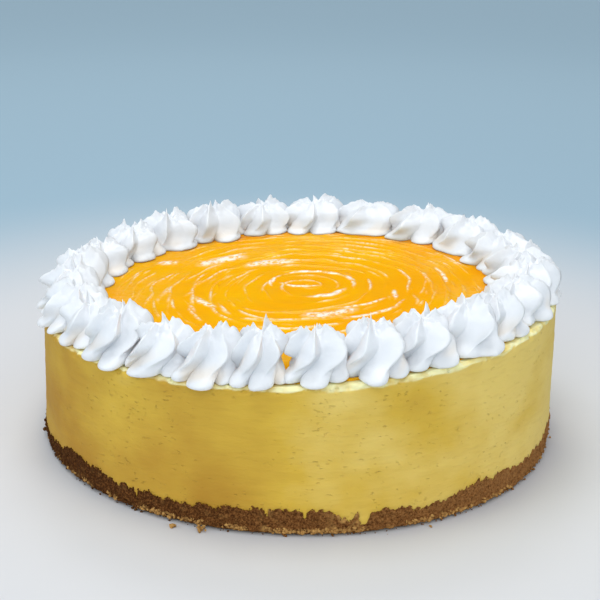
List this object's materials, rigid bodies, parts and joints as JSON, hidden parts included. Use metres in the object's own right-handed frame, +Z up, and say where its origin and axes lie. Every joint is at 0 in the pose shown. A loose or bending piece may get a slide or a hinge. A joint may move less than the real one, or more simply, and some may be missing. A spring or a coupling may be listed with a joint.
{
  "type": "mango cake",
  "caption": "Round whole mango cheesecake on a biscuit base, with a swirled glossy mango glaze and a ring of piped cream rosettes",
  "frame": {"origin": "middle of the flat underside, on the surface that the cake stands on", "axes": "+Z is up, -Y is the front that faces the viewer, +X is the viewer's right, where the cake is tallest"},
  "size_m": [0.2017, 0.202, 0.0789],
  "materials": {
    "biscuit": "pressed biscuit crumb, rough and matt, mid to dark brown with golden crumbs",
    "custard": "set cheesecake, smooth and matt, mustard yellow with small pits",
    "mango": "wet glossy mango glaze, spread in fine swirled ridges",
    "cream": "piped whipped cream, soft satin white"
  },
  "bodies": {
    "root": {"biscuit_base": "biscuit", "custard_body": "custard", "mango_glaze": "mango", "cream_rosette_01": "cream", "cream_rosette_02": "cream", "cream_rosette_03": "cream", "cream_rosette_04": "cream", "cream_rosette_05": "cream", "cream_rosette_06": "cream", "cream_rosette_07": "cream", "cream_rosette_08": "cream", "cream_rosette_09": "cream", "cream_rosette_10": "cream", "cream_rosette_11": "cream", "cream_rosette_12": "cream", "cream_rosette_13": "cream", "cream_rosette_14": "cream", "cream_rosette_15": "cream", "cream_rosette_16": "cream", "cream_rosette_17": "cream", "cream_rosette_18": "cream", "cream_rosette_19": "cream", "cream_rosette_20": "cream", "cream_rosette_21": "cream", "cream_rosette_22": "cream", "cream_rosette_23": "cream", "cream_rosette_24": "cream", "cream_rosette_25": "cream", "cream_rosette_26": "cream"}
  },
  "joints": []
}
